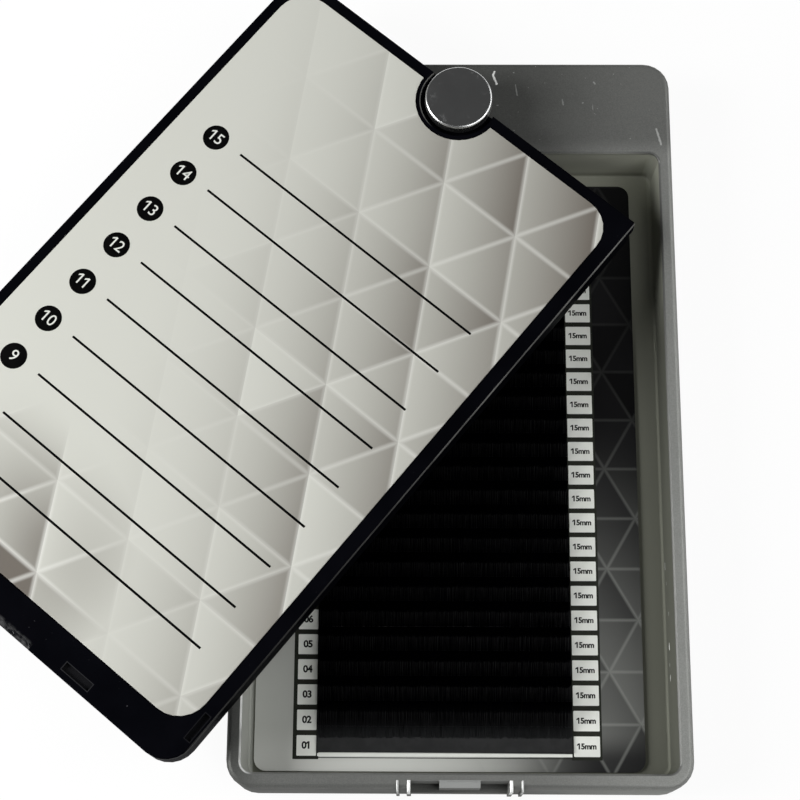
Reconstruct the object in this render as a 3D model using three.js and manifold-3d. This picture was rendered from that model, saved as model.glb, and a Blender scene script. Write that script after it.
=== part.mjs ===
// Lash palette: a silver tray with rows of lash strips under a lid that swings about a polished button.
// Millimetres, +Z up. The origin is under the centre of the tray, and +Y points to the button.
import * as THREE from 'three';
import { mergeVertices } from 'three/addons/utils/BufferGeometryUtils.js';
import Module from 'manifold-3d';

const wasm = await Module();
wasm.setup();

// Tray
const trayWidth = 82;
const trayLength = 139;
const trayHeight = 12;
const trayCornerRadius = 5;
const trayEdge = 1; // rounding of the outer edges
const rimSide = 2.55;
const rimFront = 2.8;
const flangeLength = 19; // flat top behind the recess
const floorThickness = 1.6;
const recessCornerRadius = 1.9;
const recessLean = 0.35; // each recess wall leans in by this much from rim to floor
const recessChamfer = 0.3;
const footSweep = { left: 0.5, right: 0.5, front: 0.35, rear: 0.5 }; // where the walls curve into the floor
const footRise = 0.5;
const footSteps = 3;

// Hollow under the flange
const flangeThickness = 2;
const flangeWall = 1.8;
const ribThickness = 1.2;
const ribSpacing = 22; // cross ribs stand this far from the boss on each side
const ribFootGap = 2; // ribs stop short of the surface that the tray stands on

// Thumb notch and catch in the front wall
const notchWidth = 17.2;
const notchDepth = 1.55;
const notchHeight = 8;
const catchWidth = 7.2;
const catchDepth = 1.1;
const catchDrop = 0.5; // top of the catch below the rim, at its back
const catchSlope = 1.1; // fall of the catch's top towards the front
const gripRibWidths = [0.75, 0.55]; // beside the notch, and outside that
const gripRibPitch = 1.95; // between the two ribs of a pair
const gripRibProud = 0.4; // in front of the wall
const gripRibRise = 0.12; // above the rim
const gripRibFoot = 1;

// Lash card
const cardThickness = 0.6;
const cardCornerRadius = 2.2;
const cardGapLeft = 1.15;
const cardGapRight = 4.5;
const cardGapFront = 0.7;
const cardGapRear = 2.5;

// Lash strips and fibres
const rowPitch = 4.58;
const firstRowInset = 3.45; // from the card's front edge to the first strip
const rearMargin = 18; // bare card behind the last row
const stripLength = 46;
const stripInset = 11.4; // from the card's left edge
const stripWidth = 2.9;
const stripThickness = 0.25;
const filmThickness = 0.2; // adhesive film under the strips
const fibreSheets = 4; // the film comes in this many sheets
const fibresPerRow = 16;
const fibreRootGap = 0.4; // behind the strip
const fibreRadius = 0.19;
const fibreReach = 8; // length of a lash seen from above
const fibreSlope = 0.36; // where a lash leaves the film
const fibreCurl = 0.28; // mean slope that the curl adds by the tip
const fibreSteps = 3;
const filmMargin = 0.1;
const filmGap = 0.1; // between two sheets

// Pivot
const pivotInset = 11.25; // from the tray's rear edge
const buttonRadius = 6.4;
const buttonHeight = 2.45;
const buttonBevel = 0.65;
const studRadius = 2.5;
const runningGap = 0.2; // round the stud
const faceGap = 0.25; // between the lid and each washer
const washerThickness = 0.45;
const washerRadius = 5;
const bossRadius = 5.5;
const bossFootGap = 0.8;
const screwHeadRadius = 3.1;
const screwHeadHeight = 1.6;
const screwHeadSink = 0.5; // head below the boss's foot
const screwRadius = 1.3;
const screwLength = 6.2;
const screwGap = 0.2;
const screwSlotWidth = 0.8;
const screwSlotDepth = 0.7;
const bossWeb = 1.5; // clamped between the screw's head and the stud's end

// Lid
const lidOverhangSide = 0.15;
const lidOverhangFront = 1.05;
const lidTail = 1.7; // behind the pivot
const lidHeight = 6.5;
const lidGap = 0.3; // over the tray's rim
const lidPlate = 2;
const lidWall = 1.6;
const lidEdge = 0.4;
const lidFrontRadius = 5.5;
const lidRearRadius = 0.5;
const skirtRelief = { length: 1.65, width: 3.2, height: 3.1 }; // cut out of the skirt at the rear corners
const hubRadius = 8.8;
const lugRadius = 6;
const counterboreRadius = 7.3;
const counterboreDepth = 1.6;
const scoopWidth = 16.2;
const scoopRadius = 3.6;
const scoopForward = 2.2; // scoop's centre in front of the lid
const scoopRise = 1.2; // scoop's centre above the lid
const windowDepth = 0.9;
const frontWindow = { length: 6.1, width: 1.5, inset: 2.05, fromCentre: 17.95 };
const sideWindow = { length: 5.5, width: 1.15, inset: 1.3, fromFront: 8.85 };
const restSwing = -39.4; // degrees from closed, as the lid stands in the model

// Lid card
const lidCardThickness = 0.4;
const lidCardProud = 0.05;
const lidCardCornerRadius = 6;
const lidCardBorder = { left: 2.15, right: 2.9, rear: 2.25, front: 6.9 };
const lidCardCutout = 8.2;
const pocketGap = 0.2; // round the card

// Facets
const arcSteps = 3; // half the steps in a quarter circle
const bevelSteps = 3;
const roundSides = 36;
const weld = 1e-4;
const past = 1; // cutters run on past the face that they open

// Places worked out from the sizes
const trayFront = -trayLength / 2;
const trayRear = trayLength / 2;
const recess = {
  left: -trayWidth / 2 + rimSide,
  right: trayWidth / 2 - rimSide,
  front: trayFront + rimFront,
  rear: trayRear - flangeLength,
};
const card = {
  left: recess.left + recessLean + cardGapLeft,
  right: recess.right - recessLean - cardGapRight,
  front: recess.front + recessLean + cardGapFront,
  rear: recess.rear - recessLean - cardGapRear,
};
const cardTop = floorThickness + cardThickness;
const filmTop = cardTop + filmThickness;
const stripLeft = card.left + stripInset;
const stripRight = stripLeft + stripLength;
const rowSpace = card.rear - card.front - firstRowInset - rearMargin;
const rowCount = Math.floor(rowSpace / rowPitch);
const pivotY = trayRear - pivotInset;
const lid = {
  left: -trayWidth / 2 - lidOverhangSide,
  right: trayWidth / 2 + lidOverhangSide,
  front: trayFront - lidOverhangFront - pivotY,
  rear: lidTail,
  bottom: trayHeight + lidGap,
  top: trayHeight + lidGap + lidHeight,
};
const lidCard = {
  left: lid.left + lidCardBorder.left,
  right: lid.right - lidCardBorder.right,
  front: lid.front + lidCardBorder.front,
  rear: lid.rear - lidCardBorder.rear,
};
const lowerWasherTop = trayHeight + washerThickness;
const hubBottom = lowerWasherTop + faceGap;
const counterboreFloor = lid.top - counterboreDepth;
const upperWasherBottom = counterboreFloor + faceGap;
const buttonBottom = upperWasherBottom + washerThickness;
const counterboreMouth = bossFootGap + screwHeadSink + screwHeadHeight;
const studEnd = counterboreMouth + bossWeb;

// Closed solid from a geometry, with its doubled vertices welded and its slivers dropped.
function solid(geometry) {
  const bare = geometry.clone();
  bare.deleteAttribute('normal');
  bare.deleteAttribute('uv');
  const welded = mergeVertices(bare, weld);
  const corners = welded.index.array;
  const faces = [];
  for (let i = 0; i < corners.length; i += 3) {
    const [a, b, c] = [corners[i], corners[i + 1], corners[i + 2]];
    if (a !== b && b !== c && c !== a) faces.push(a, b, c);
  }
  const vertProperties = new Float32Array(welded.attributes.position.array);
  return new wasm.Manifold(new wasm.Mesh({ numProp: 3, vertProperties, triVerts: new Uint32Array(faces) }));
}

function geometryOf(body) {
  const mesh = body.getMesh();
  const geometry = new THREE.BufferGeometry();
  geometry.setAttribute('position', new THREE.BufferAttribute(new Float32Array(mesh.vertProperties), 3));
  geometry.setIndex(new THREE.BufferAttribute(new Uint32Array(mesh.triVerts), 1));
  geometry.computeVertexNormals();
  return geometry;
}

// Outline with its own radius at the front and rear corners.
function outline({ left, right, front, rear }, frontRadius, rearRadius = frontRadius) {
  const shape = new THREE.Shape();
  shape.moveTo(left + frontRadius, front);
  shape.absarc(right - frontRadius, front + frontRadius, frontRadius, -Math.PI / 2, 0);
  shape.absarc(right - rearRadius, rear - rearRadius, rearRadius, 0, Math.PI / 2);
  shape.absarc(left + rearRadius, rear - rearRadius, rearRadius, Math.PI / 2, Math.PI);
  shape.absarc(left + frontRadius, front + frontRadius, frontRadius, Math.PI, Math.PI * 1.5);
  return shape;
}

function inset({ left, right, front, rear }, by) {
  return { left: left + by, right: right - by, front: front + by, rear: rear - by };
}

// Upright prism on an outline, with rounded upper and lower edges where an edge is given.
function prism(shape, bottom, top, edge = 0) {
  const geometry = new THREE.ExtrudeGeometry(shape, {
    depth: top - bottom - 2 * edge,
    curveSegments: arcSteps,
    bevelEnabled: edge > 0,
    bevelThickness: edge,
    bevelSize: edge,
    bevelOffset: -edge,
    bevelSegments: bevelSteps,
  });
  return geometry.translate(0, 0, bottom + edge);
}

// Moves the lower end of a prism inwards on every side.
function leanIn(geometry, by) {
  geometry.computeBoundingBox();
  const centre = geometry.boundingBox.getCenter(new THREE.Vector3());
  const place = geometry.attributes.position;
  for (let i = 0; i < place.count; i += 1) {
    if (place.getZ(i) < centre.z) {
      place.setX(i, place.getX(i) - Math.sign(place.getX(i) - centre.x) * by);
      place.setY(i, place.getY(i) - Math.sign(place.getY(i) - centre.y) * by);
    }
  }
  return geometry;
}

function box(left, right, front, rear, bottom, top) {
  const geometry = new THREE.BoxGeometry(right - left, rear - front, top - bottom);
  return geometry.translate((left + right) / 2, (front + rear) / 2, (bottom + top) / 2);
}

function cylinder(radius, bottom, top, y = 0) {
  const geometry = new THREE.CylinderGeometry(radius, radius, top - bottom, roundSides);
  return geometry.rotateX(Math.PI / 2).translate(0, y, (bottom + top) / 2);
}

// Turned piece about a vertical axis, from [radius, height] pairs that start and end on the axis.
function turned(profile, y) {
  const points = profile.map(([radius, height]) => new THREE.Vector2(radius, height));
  return new THREE.LatheGeometry(points, roundSides).rotateX(Math.PI / 2).translate(0, y, 0);
}

// The recess: leaning walls that curve into the floor, with a small chamfer at the rim.
function recessCut() {
  const over = recessChamfer;
  const chamfered = inset(recess, -2 * over);
  const mouth = leanIn(
    prism(outline(chamfered, recessCornerRadius + 2 * over), trayHeight - over, trayHeight + over),
    2 * over,
  );
  const corners = [];
  const level = (sides, z) => {
    for (const { x, y } of outline(sides, recessCornerRadius).getPoints(arcSteps)) corners.push([x, y, z]);
  };
  level(recess, trayHeight + over);
  for (let step = 0; step <= footSteps; step += 1) {
    const angle = (step / footSteps) * (Math.PI / 2);
    const part = 1 - Math.sin(angle);
    const sides = {
      left: recess.left + recessLean + part * footSweep.left,
      right: recess.right - recessLean - part * footSweep.right,
      front: recess.front + recessLean + part * footSweep.front,
      rear: recess.rear - recessLean - part * footSweep.rear,
    };
    level(sides, floorThickness + footRise * (1 - Math.cos(angle)));
  }
  return wasm.Manifold.hull(corners).add(solid(mouth));
}

// The hollow under the flange, with the boss that takes the stud and the ribs that stiffen it.
function flangeHollow() {
  const hollow = {
    left: -trayWidth / 2 + flangeWall,
    right: trayWidth / 2 - flangeWall,
    front: recess.rear + flangeWall,
    rear: trayRear - flangeWall,
  };
  const ceiling = trayHeight - flangeThickness;
  const half = ribThickness / 2;
  const radius = trayCornerRadius - flangeWall;
  const boss = solid(cylinder(bossRadius, bossFootGap, ceiling, pivotY));
  const longRib = solid(box(hollow.left, hollow.right, pivotY - half, pivotY + half, ribFootGap, ceiling));
  let kept = boss.add(longRib);
  for (const x of [-ribSpacing, ribSpacing]) {
    kept = kept.add(solid(box(x - half, x + half, hollow.front, hollow.rear, ribFootGap, ceiling)));
  }
  return solid(prism(outline(hollow, flangeWall / 2, radius), -flangeWall, ceiling)).subtract(kept);
}

// Thumb notch: the cut, and the sloping catch left standing in it.
function thumbNotch() {
  const back = trayFront + notchDepth;
  const floor = trayHeight - notchHeight;
  const half = notchWidth / 2;
  const cut = box(-half, half, trayFront - notchDepth, back, floor, trayHeight + notchHeight);
  const side = new THREE.Shape();
  const high = trayHeight - catchDrop;
  side.moveTo(back, floor);
  side.lineTo(back, high);
  side.lineTo(back - catchDepth, high - catchSlope);
  side.lineTo(back - catchDepth, floor);
  const catchBlock = new THREE.ExtrudeGeometry(side, { depth: catchWidth, bevelEnabled: false });
  catchBlock.rotateX(Math.PI / 2).rotateZ(Math.PI / 2).translate(-catchWidth / 2, 0, 0);
  return solid(cut).subtract(solid(catchBlock));
}

// Upright rib with a round top beside the notch.
function gripRib(x, width) {
  const half = width / 2;
  const shoulder = trayHeight + gripRibRise - half;
  const face = new THREE.Shape();
  face.moveTo(-half, gripRibFoot);
  face.lineTo(half, gripRibFoot);
  face.lineTo(half, shoulder);
  face.absarc(0, shoulder, half, 0, Math.PI);
  const depth = notchDepth + gripRibProud;
  const geometry = new THREE.ExtrudeGeometry(face, { depth, curveSegments: arcSteps, bevelEnabled: false });
  return solid(geometry.rotateX(Math.PI / 2).translate(x, trayFront + notchDepth, 0));
}

function baseTray() {
  const around = { left: -trayWidth / 2, right: trayWidth / 2, front: trayFront, rear: trayRear };
  let body = solid(prism(outline(around, trayCornerRadius), 0, trayHeight, trayEdge));
  body = body.subtract(recessCut()).subtract(flangeHollow()).subtract(thumbNotch());
  gripRibWidths.forEach((width, place) => {
    const x = notchWidth / 2 + gripRibWidths[0] / 2 + place * gripRibPitch;
    body = body.add(gripRib(-x, width)).add(gripRib(x, width));
  });
  body = body.subtract(solid(cylinder(studRadius + runningGap, studEnd, trayHeight + past, pivotY)));
  body = body.subtract(solid(cylinder(screwRadius + screwGap, 0, studEnd + past, pivotY)));
  return body.subtract(solid(cylinder(screwHeadRadius + screwGap, 0, counterboreMouth, pivotY)));
}

function lashCard() {
  return solid(prism(outline(card, cardCornerRadius), floorThickness, cardTop));
}

const rowFront = (row) => card.front + firstRowInset + row * rowPitch;

function lashStrip(row) {
  const front = rowFront(row);
  return solid(box(stripLeft, stripRight, front, front + stripWidth, filmTop, filmTop + stripThickness));
}

// One lash: a three-sided tapering thread that leaves the film at a slant and curls up.
function fibre(x, rootY) {
  const geometry = new THREE.ConeGeometry(fibreRadius, fibreReach, 3, fibreSteps);
  const place = geometry.attributes.position;
  for (let i = 0; i < place.count; i += 1) {
    const reach = place.getY(i) + fibreReach / 2;
    const curl = (fibreCurl * reach) / fibreReach;
    const rise = (fibreSlope + curl) * reach;
    const tilt = Math.atan(fibreSlope + 2 * curl);
    const off = place.getZ(i);
    const y = rootY + reach - off * Math.sin(tilt);
    place.setXYZ(i, x + place.getX(i), y, filmTop + rise + off * Math.cos(tilt));
  }
  return solid(geometry);
}

// A sheet of film under several strips, with the lashes of those rows standing on it.
function lashFibres(firstRow, lastRow) {
  const front = rowFront(firstRow) - filmMargin;
  const rear = rowFront(lastRow + 1) - filmMargin - filmGap;
  const left = stripLeft - filmMargin;
  const right = stripRight + filmMargin;
  let body = solid(box(left, right, front, rear, cardTop, filmTop));
  const spacing = stripLength / fibresPerRow;
  for (let row = firstRow; row <= lastRow; row += 1) {
    const rootY = rowFront(row) + stripWidth + fibreRootGap;
    for (let i = 0; i < fibresPerRow; i += 1) {
      body = body.add(fibre(stripLeft + (i + 0.5) * spacing, rootY));
    }
  }
  return body;
}

// Polished button on its stud, with a blind hole for the screw.
function pivotStud() {
  const top = buttonBottom + buttonHeight;
  const holeTop = counterboreMouth + screwLength + bossWeb;
  const holeRadius = screwRadius + screwGap;
  return solid(turned([
    [0, holeTop],
    [holeRadius, holeTop],
    [holeRadius, studEnd],
    [studRadius, studEnd],
    [studRadius, buttonBottom],
    [buttonRadius - buttonBevel / 2, buttonBottom],
    [buttonRadius, buttonBottom + buttonBevel / 2],
    [buttonRadius, top - buttonBevel],
    [buttonRadius - buttonBevel / 3, top - buttonBevel / 3],
    [buttonRadius - buttonBevel, top],
    [0, top],
  ], pivotY));
}

// Slotted screw that draws the stud down on to the boss.
function pivotScrew() {
  const headBottom = counterboreMouth - screwHeadHeight;
  const screw = solid(turned([
    [0, headBottom],
    [screwHeadRadius, headBottom],
    [screwHeadRadius, counterboreMouth],
    [screwRadius, counterboreMouth],
    [screwRadius, counterboreMouth + screwLength],
    [0, counterboreMouth + screwLength],
  ], pivotY));
  const half = screwSlotWidth / 2;
  const slotTop = headBottom + screwSlotDepth;
  const slot = box(-trayWidth, trayWidth, pivotY - half, pivotY + half, -screwSlotDepth, slotTop);
  return screw.subtract(solid(slot));
}

function washer(bottom) {
  const ring = solid(cylinder(washerRadius, bottom, bottom + washerThickness, pivotY));
  const hole = cylinder(studRadius + runningGap, bottom - past, bottom + washerThickness + past, pivotY);
  return ring.subtract(solid(hole));
}

// The lid's pieces are drawn about the pivot, as they lie with the lid closed.
function lidShell() {
  const around = outline(lid, lidFrontRadius, lidRearRadius);
  const plateBottom = lid.top - lidPlate;
  const inside = outline(inset(lid, lidWall), lidFrontRadius - lidWall, lidRearRadius);
  let body = solid(prism(around, lid.bottom, lid.top, lidEdge));
  body = body.subtract(solid(prism(inside, lid.bottom - past, plateBottom)));
  const hub = solid(cylinder(hubRadius, hubBottom, plateBottom));
  body = body.add(hub.intersect(solid(prism(around, lid.bottom, lid.top))));
  body = body.subtract(solid(cylinder(hubRadius, lid.bottom - past, hubBottom)));
  body = body.add(solid(cylinder(lugRadius, hubBottom, counterboreFloor)));
  body = body.subtract(solid(cylinder(counterboreRadius, counterboreFloor, lid.top + past)));
  body = body.subtract(solid(cylinder(studRadius + runningGap, lid.bottom - past, lid.top + past)));
  body = body.subtract(skirtCut(-1)).subtract(skirtCut(1));
  return body.subtract(cardPocket()).subtract(thumbScoop()).subtract(windows());
}

// The skirt stops short of each rear corner.
function skirtCut(side) {
  const { length, width, height } = skirtRelief;
  const edge = side * (lid.right + past);
  const inner = side * (lid.right - width);
  const [low, high] = [Math.min(edge, inner), Math.max(edge, inner)];
  return solid(box(low, high, lid.rear - length, lid.rear + past, lid.bottom - past, lid.bottom + height));
}

// Shallow seat for the printed card, left solid round the button.
function cardPocket() {
  const floor = lid.top + lidCardProud - lidCardThickness;
  const seat = outline(inset(lidCard, -pocketGap), lidCardCornerRadius + pocketGap);
  const kept = cylinder(lidCardCutout - pocketGap, floor - past, lid.top + 2 * past);
  return solid(prism(seat, floor, lid.top + past)).subtract(solid(kept));
}

// Hollow at the middle of the front edge for a thumb.
function thumbScoop() {
  const round = new THREE.CylinderGeometry(scoopRadius, scoopRadius, scoopWidth, roundSides);
  return solid(round.rotateZ(Math.PI / 2).translate(0, lid.front - scoopForward, lid.top + scoopRise));
}

// Moulded blind windows in the lid's border, near the front corners.
function windows() {
  const floor = lid.top - windowDepth;
  const place = (x, y, width, length) => solid(
    box(x - width / 2, x + width / 2, y - length / 2, y + length / 2, floor, lid.top + past),
  );
  const frontY = lid.front + frontWindow.inset;
  const sideY = lid.front + sideWindow.fromFront;
  let cut = null;
  for (const side of [-1, 1]) {
    const front = place(side * frontWindow.fromCentre, frontY, frontWindow.length, frontWindow.width);
    const sideX = side * (lid.right - sideWindow.inset);
    const pair = front.add(place(sideX, sideY, sideWindow.width, sideWindow.length));
    cut = cut ? cut.add(pair) : pair;
  }
  return cut;
}

function lidCardSheet() {
  const bottom = lid.top + lidCardProud - lidCardThickness;
  const top = bottom + lidCardThickness;
  const sheet = solid(prism(outline(lidCard, lidCardCornerRadius), bottom, top));
  return sheet.subtract(solid(cylinder(lidCardCutout, bottom - past, top + past)));
}

const finishes = {
  silver: { color: 0x8c8e88, roughness: 0.42, metalness: 0.55 },
  print: { color: 0x5c5d60, roughness: 0.6, metalness: 0 },
  tape: { color: 0x26262a, roughness: 0.5, metalness: 0 },
  fibre: { color: 0x0b0b0d, roughness: 0.45, metalness: 0 },
  polished: { color: 0xd9dadc, roughness: 0.08, metalness: 1 },
  steel: { color: 0xb4b6b8, roughness: 0.35, metalness: 0.9 },
  nylon: { color: 0xe6e4de, roughness: 0.6, metalness: 0 },
  black: { color: 0x0a0b0e, roughness: 0.35, metalness: 0 },
  artwork: { color: 0xc8c6bc, roughness: 0.65, metalness: 0 },
};

function piece(name, body, finish) {
  const mesh = new THREE.Mesh(geometryOf(body), new THREE.MeshStandardMaterial(finishes[finish]));
  mesh.name = name;
  return mesh;
}

function palette() {
  const group = new THREE.Group();
  group.name = 'lash_palette';
  group.add(piece('base_tray', baseTray(), 'silver'));
  group.add(piece('lash_card', lashCard(), 'print'));
  for (let row = 0; row < rowCount; row += 1) {
    group.add(piece(`lash_strip_${String(row + 1).padStart(2, '0')}`, lashStrip(row), 'tape'));
  }
  const sheetStart = (sheet) => Math.round((sheet * rowCount) / fibreSheets);
  for (let sheet = 0; sheet < fibreSheets; sheet += 1) {
    const rows = lashFibres(sheetStart(sheet), sheetStart(sheet + 1) - 1);
    group.add(piece(`lash_fibres_${sheet + 1}`, rows, 'fibre'));
  }
  group.add(piece('pivot_stud', pivotStud(), 'polished'));
  group.add(piece('pivot_screw', pivotScrew(), 'steel'));
  group.add(piece('upper_washer', washer(upperWasherBottom), 'nylon'));
  group.add(piece('lower_washer', washer(trayHeight), 'nylon'));

  const lidGroup = new THREE.Group();
  lidGroup.name = 'lid';
  lidGroup.position.y = pivotY;
  lidGroup.rotation.z = THREE.MathUtils.degToRad(restSwing);
  lidGroup.add(piece('lid_shell', lidShell(), 'black'));
  lidGroup.add(piece('lid_card', lidCardSheet(), 'artwork'));
  group.add(lidGroup);
  return group;
}

export default palette();
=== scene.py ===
import math

import bmesh
import bpy
from mathutils import Matrix, Vector


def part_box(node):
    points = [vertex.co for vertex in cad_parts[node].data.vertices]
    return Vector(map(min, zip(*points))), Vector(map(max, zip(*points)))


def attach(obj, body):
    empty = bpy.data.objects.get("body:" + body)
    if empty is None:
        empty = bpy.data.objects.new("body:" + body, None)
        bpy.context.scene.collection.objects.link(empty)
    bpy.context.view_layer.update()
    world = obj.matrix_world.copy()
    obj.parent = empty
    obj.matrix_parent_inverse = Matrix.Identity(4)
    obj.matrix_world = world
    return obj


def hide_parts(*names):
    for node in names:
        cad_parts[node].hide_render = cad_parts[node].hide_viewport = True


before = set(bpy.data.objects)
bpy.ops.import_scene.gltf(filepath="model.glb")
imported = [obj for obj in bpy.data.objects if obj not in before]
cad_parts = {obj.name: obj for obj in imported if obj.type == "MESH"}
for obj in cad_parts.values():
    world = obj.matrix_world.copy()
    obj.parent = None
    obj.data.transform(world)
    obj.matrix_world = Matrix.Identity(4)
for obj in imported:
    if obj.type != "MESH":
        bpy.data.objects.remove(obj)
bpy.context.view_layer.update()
mm = 0.001
scene = bpy.context.scene
scene.view_settings.view_transform = "Standard"
print("frame loaded:", len(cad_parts), "nodes")


def linked(name, data):
    thing = bpy.data.objects.new(name, data)
    scene.collection.objects.link(thing)
    return thing


# camera as the photograph was taken, read from the tray's and the lid's corners
view = {"place": (-7.20, -92.92, 337.99), "turn": (16.081, 0.551, 0.326), "lens": 82.65}
cameraData = bpy.data.cameras.new("viewCamera")
cameraData.lens = view["lens"]
cameraData.sensor_width = 36
cameraData.clip_start = 0.01
camera = linked("viewCamera", cameraData)
camera.location = Vector(view["place"]) * mm
camera.rotation_euler = [math.radians(a) for a in view["turn"]]
scene.camera = camera

# where the lid stands in the model: turned about the button
pivot = {"y": 58.25, "swing": -39.4}
lidMatrix = Matrix.Translation((0, pivot["y"] * mm, 0)) @ Matrix.Rotation(math.radians(pivot["swing"]), 4, "Z")


# node helpers

def feed(tree, socket, value):
    if isinstance(value, bpy.types.NodeSocket):
        tree.links.new(value, socket)
    else:
        socket.default_value = value


def calc(tree, operation, a, b=0.0, clamp=False):
    node = tree.nodes.new("ShaderNodeMath")
    node.operation = operation
    node.use_clamp = clamp
    feed(tree, node.inputs[0], a)
    feed(tree, node.inputs[1], b)
    return node.outputs[0]


def product(tree, value, *factors):
    for factor in factors:
        value = calc(tree, "MULTIPLY", value, factor)
    return value


def hypotenuse(tree, a, b):
    return calc(tree, "SQRT", calc(tree, "ADD", product(tree, a, a), product(tree, b, b)))


def away(tree, value, place):
    # how far a value is from a place, on either side
    return calc(tree, "ABSOLUTE", calc(tree, "SUBTRACT", value, place))


def vectorCalc(tree, operation, a, b):
    node = tree.nodes.new("ShaderNodeVectorMath")
    node.operation = operation
    feed(tree, node.inputs[0], a)
    feed(tree, node.inputs["Scale" if operation == "SCALE" else 1], b)
    return node.outputs["Value" if operation in ("DOT_PRODUCT", "DISTANCE") else "Vector"]


def vectorOf(tree, x=0.0, y=0.0, z=0.0):
    node = tree.nodes.new("ShaderNodeCombineXYZ")
    for socket, value in zip(node.inputs, (x, y, z)):
        feed(tree, socket, value)
    return node.outputs[0]


def mixColour(tree, factor, low, high):
    node = tree.nodes.new("ShaderNodeMix")
    node.data_type = "RGBA"
    for index, value in ((0, factor), (6, low), (7, high)):
        feed(tree, node.inputs[index], value + (1,) if isinstance(value, tuple) else value)
    return node.outputs[2]


def rangeOf(tree, value, low, high, toLow=0.0, toHigh=1.0):
    node = tree.nodes.new("ShaderNodeMapRange")
    node.interpolation_type = "SMOOTHSTEP"
    for socket, number in zip(node.inputs, (value, low, high, toLow, toHigh)):
        feed(tree, socket, number)
    return node.outputs[0]


def zonesOf(tree, zones):
    # ranges by their names
    return lambda value, name, toLow=0.0, toHigh=1.0: rangeOf(tree, value, *zones[name], toLow, toHigh)


def noise(tree, vector, scale, detail=2.0, roughness=0.5):
    node = tree.nodes.new("ShaderNodeTexNoise")
    for label, value in (("Vector", vector), ("Scale", scale), ("Detail", detail), ("Roughness", roughness)):
        feed(tree, node.inputs[label], value)
    return node.outputs[0]


def shaderGroup(name, inputs, outputs):
    tree = bpy.data.node_groups.new(name, "ShaderNodeTree")
    for label, kind in inputs:
        tree.interface.new_socket(label, in_out="INPUT", socket_type="NodeSocket" + kind)
    for label in outputs:
        tree.interface.new_socket(label, in_out="OUTPUT", socket_type="NodeSocketFloat")
    return tree, tree.nodes.new("NodeGroupInput").outputs, tree.nodes.new("NodeGroupOutput").inputs


def useGroup(tree, group, vector, **values):
    node = tree.nodes.new("ShaderNodeGroup")
    node.node_tree = group
    for label, value in {"Vector": vector, **values}.items():
        feed(tree, node.inputs[label], value)
    return node.outputs


def newMaterial(name, settings):
    material = bpy.data.materials.new(name)
    material.use_nodes = True
    tree = material.node_tree
    shader = tree.nodes["Principled BSDF"].inputs
    for label, value in settings.items():
        shader[label].default_value = value
    coordinates = tree.nodes.new("ShaderNodeTexCoord").outputs["Object"]
    return material, tree, shader, coordinates


def addBump(tree, shader, height, strength, distance):
    node = tree.nodes.new("ShaderNodeBump")
    node.inputs["Strength"].default_value = strength
    node.inputs["Distance"].default_value = distance
    tree.links.new(height, node.inputs["Height"])
    tree.links.new(node.outputs[0], shader["Normal"])


def trayVector(tree, coordinates, place=(0, 0, 0), turn=0.0):
    # millimetres in the tray's frame
    node = tree.nodes.new("ShaderNodeMapping")
    node.vector_type = "TEXTURE"
    node.inputs["Location"].default_value = place
    node.inputs["Rotation"].default_value = (0, 0, math.radians(turn))
    node.inputs["Scale"].default_value = (mm, mm, mm)
    tree.links.new(coordinates, node.inputs["Vector"])
    return node.outputs[0]


def lidVector(tree, coordinates):
    # millimetres from the pivot, across and along the lid
    return trayVector(tree, coordinates, (0, pivot["y"] * mm, 0), pivot["swing"])


def parts(tree, vector):
    node = tree.nodes.new("ShaderNodeSeparateXYZ")
    tree.links.new(vector, node.inputs[0])
    return node.outputs


# shared surface effects

def makeGrain():
    tree, source, sink = shaderGroup("mouldGrain", [("Vector", "Vector"), ("Fine", "Float"), ("Broad", "Float")],
                                     ["Height", "Shade"])
    tree.links.new(noise(tree, source["Vector"], source["Fine"], 2.0), sink["Height"])
    broad = noise(tree, source["Vector"], source["Broad"], 4.0, 0.6)
    tree.links.new(rangeOf(tree, broad, 0.3, 0.7), sink["Shade"])
    return tree


def makeScuffs():
    tree, source, sink = shaderGroup("scuffMarks", [("Vector", "Vector"), ("Size", "Float"), ("Amount", "Float")],
                                     ["Mask"])
    stretch = tree.nodes.new("ShaderNodeMapping")
    stretch.inputs["Rotation"].default_value = (0.3, 0.2, 0.9)
    stretch.inputs["Scale"].default_value = (1.0, 0.16, 0.7)
    tree.links.new(source["Vector"], stretch.inputs["Vector"])
    streak = noise(tree, stretch.outputs[0], source["Size"], 3.0, 0.65)
    patch = noise(tree, source["Vector"], product(tree, source["Size"], 0.07), 2.0)
    height = calc(tree, "ADD", product(tree, streak, 0.75), product(tree, patch, 0.5))
    lifted = calc(tree, "ADD", height, source["Amount"])
    tree.links.new(rangeOf(tree, lifted, 0.90, 0.95), sink["Mask"])
    return tree


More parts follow.
